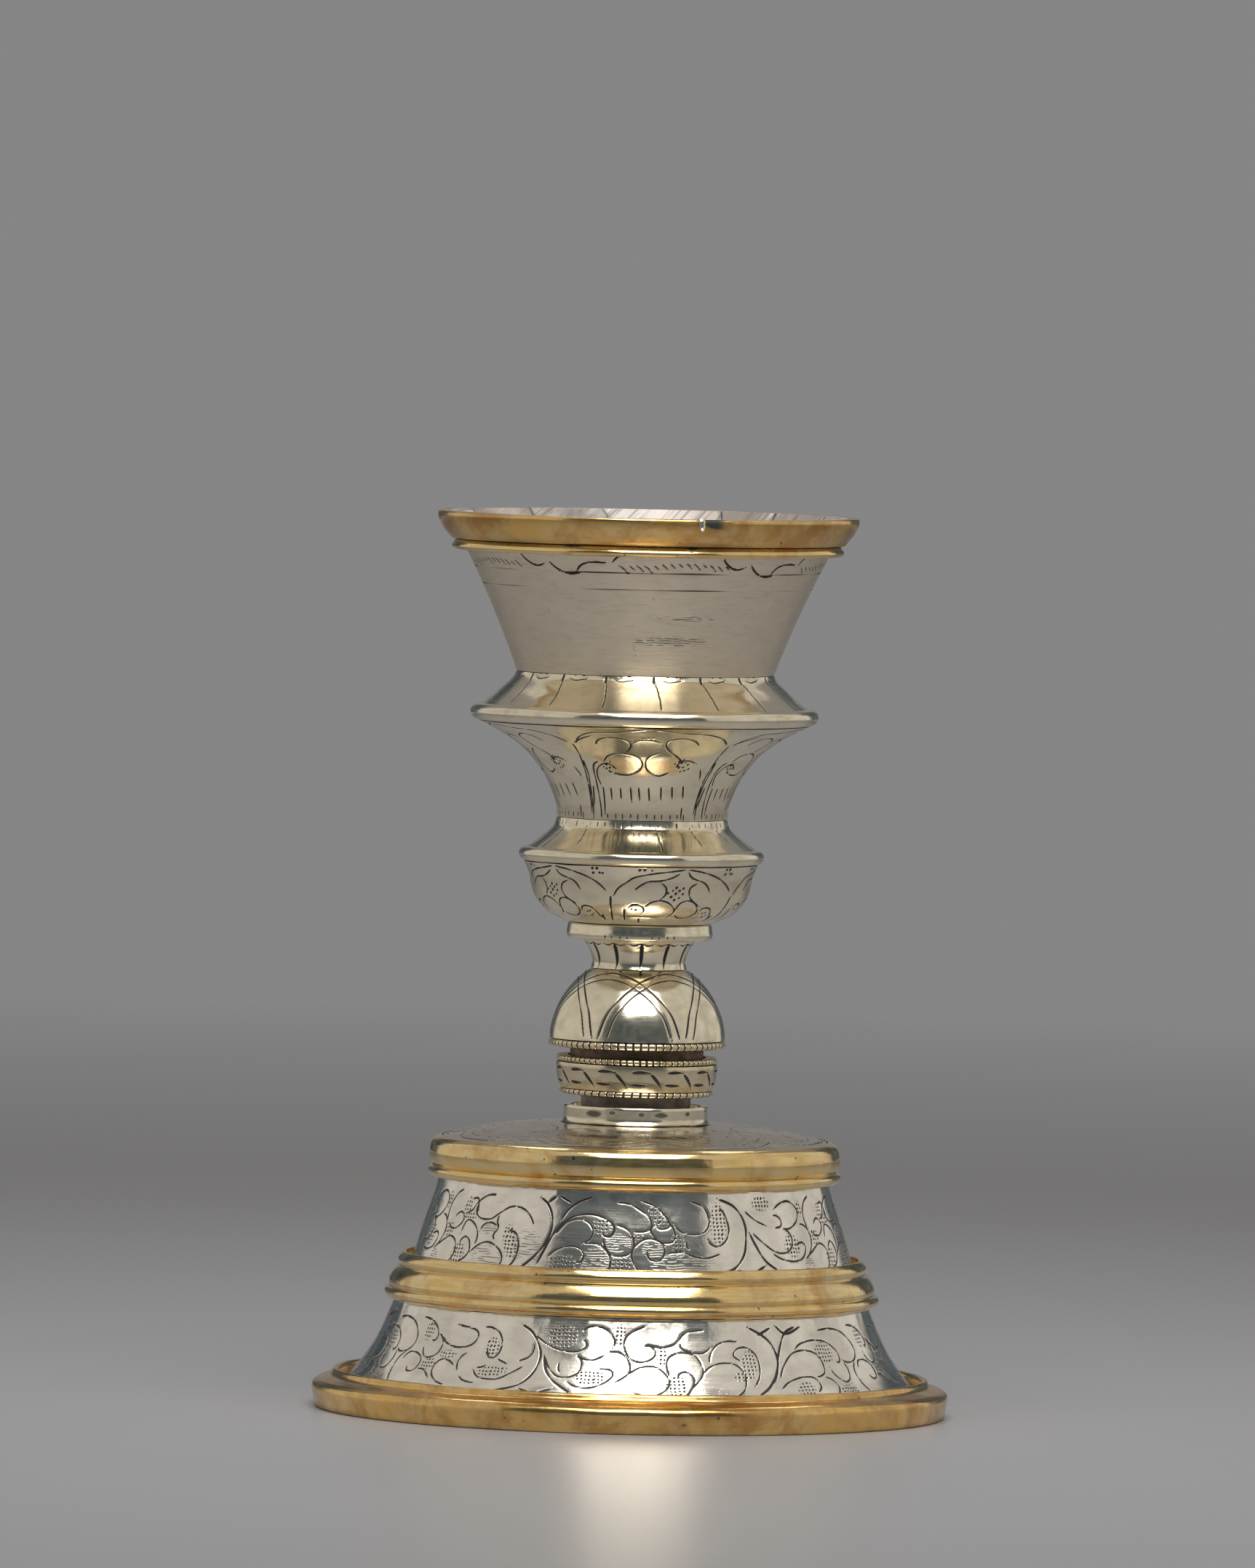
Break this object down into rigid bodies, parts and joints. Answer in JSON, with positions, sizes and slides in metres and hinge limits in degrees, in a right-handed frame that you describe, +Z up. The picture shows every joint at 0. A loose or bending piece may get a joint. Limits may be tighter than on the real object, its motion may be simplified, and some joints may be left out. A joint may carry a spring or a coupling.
{
  "type": "ciborium vessel",
  "caption": "Stemmed ciborium with a flared cup, a domed knop over a loose ring and a stepped round foot, held together by a tie rod and nut.",
  "frame": {"origin": "centre of the foot's underside, on the stem's axis, in the plane that the foot stands on", "axes": "+Z up the stem's axis towards the mouth of the cup; -Y is the side with the bent tongue, to the right of the front"},
  "size_m": [0.1238, 0.1238, 0.1745],
  "materials": {
    "silver": "worn polished silver, engraved",
    "gilt": "worn patchy gilding",
    "core": "tarnished, dull",
    "nacre": "satin, streaked nacre",
    "iron": "dull filed iron"
  },
  "bodies": {
    "foot": {"foot_flange": "gilt", "lower_drum": "silver", "middle_moulding": "gilt", "upper_drum": "silver", "upper_moulding": "gilt", "top_plate": "silver", "stem_collar": "silver", "seat_plate": "silver", "lower_spacer": "core"},
    "ring": {"knop_ring": "silver", "ring_top_wire": "silver", "ring_bottom_wire": "silver"},
    "cup": {"upper_spacer": "core", "dome_base": "silver", "dome_wire": "silver", "dome_knop": "silver", "neck_spool": "silver", "bulb_collar": "silver", "bulb": "silver", "lower_flange_wire": "silver", "lower_shoulder": "silver", "cove": "silver", "upper_flange_wire": "silver", "upper_shoulder": "silver", "bell": "silver", "rim_moulding": "gilt", "rim_bead": "gilt", "rim_tongue": "silver", "cup_floor": "gilt", "nacre_plate_01": "nacre", "nacre_plate_02": "nacre", "nacre_plate_03": "nacre", "nacre_plate_04": "nacre", "nacre_plate_05": "nacre", "nacre_plate_06": "nacre", "nacre_plate_07": "nacre", "nacre_plate_08": "nacre", "nacre_plate_09": "nacre", "nacre_plate_10": "nacre", "nacre_plate_11": "nacre", "nacre_plate_12": "nacre", "nacre_plate_13": "nacre", "tie_rod": "iron"},
    "washer": {"washer": "iron"},
    "nut": {"nut": "iron"}
  },
  "joints": [
    {"name": "cup_swivel", "type": "hinge", "parent": "foot", "child": "cup", "pos_m": [0, 0, 0.071], "axis": [0, 0, 1], "continuous": true},
    {"name": "ring_spin", "type": "hinge", "parent": "foot", "child": "ring", "pos_m": [0, 0, 0.0655], "axis": [0, 0, 1], "continuous": true},
    {"name": "washer_drop", "type": "slide", "parent": "cup", "child": "washer", "axis": [0, 0, 1], "range_m": [-0.01, 0]},
    {"name": "nut_turn", "type": "hinge", "parent": "washer", "child": "nut", "pos_m": [0, 0, 0.05], "axis": [0, 0, 1], "range_deg": [-3600, 0]}
  ],
  "couplings": [
    {"joint": "washer_drop", "follows": "nut_turn", "m_per_rad": 0.00015915}
  ]
}
